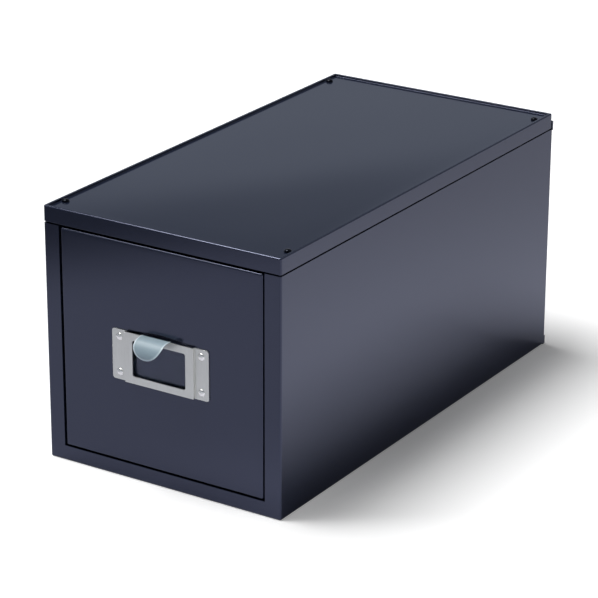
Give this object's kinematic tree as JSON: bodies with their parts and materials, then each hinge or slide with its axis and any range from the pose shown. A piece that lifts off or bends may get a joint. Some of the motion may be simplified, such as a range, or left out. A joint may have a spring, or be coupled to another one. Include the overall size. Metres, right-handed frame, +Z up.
{
  "type": "cd storage box",
  "caption": "Tabletop steel storage box with a single full-front drawer, a riveted label holder that doubles as the pull, and a rimmed top for stacking.",
  "frame": {"origin": "centre of the object's box at the level it stands on", "axes": "+X to the right seen from the front, +Y from the drawer front to the back, +Z up"},
  "size_m": [0.17, 0.3462, 0.1654],
  "materials": {
    "painted_steel": "semi-gloss charcoal paint",
    "satin_steel": "satin nickel plate",
    "bright_steel": "bright zinc plate",
    "nylon": "natural nylon",
    "rubber_black": "matt black rubber",
    "black_plastic": "polished black plastic",
    "clear_film": "clear bent film"
  },
  "bodies": {
    "case": {"case_shell": "painted_steel", "rear_panel": "painted_steel", "rear_panel_rivets": "painted_steel", "front_crossbar": "painted_steel", "top_cover": "painted_steel", "cover_studs": "black_plastic", "left_runner": "painted_steel", "right_runner": "painted_steel", "front_glides": "nylon", "rear_buffers": "rubber_black"},
    "drawer": {"drawer_front": "painted_steel", "drawer_front_liner": "painted_steel", "drawer_tray": "painted_steel", "drawer_back": "painted_steel", "left_guide_shoe": "nylon", "right_guide_shoe": "nylon", "shoe_rivets": "bright_steel", "label_holder": "satin_steel", "holder_rivets": "bright_steel"},
    "film": {"label_film": "clear_film"}
  },
  "joints": [
    {"name": "drawer_slide", "type": "slide", "parent": "case", "child": "drawer", "axis": [0, -1, 0], "range_m": [0, 0.2889]},
    {"name": "film_slide", "type": "slide", "parent": "drawer", "child": "film", "axis": [0, 0, 1], "range_m": [0, 0.028]}
  ]
}
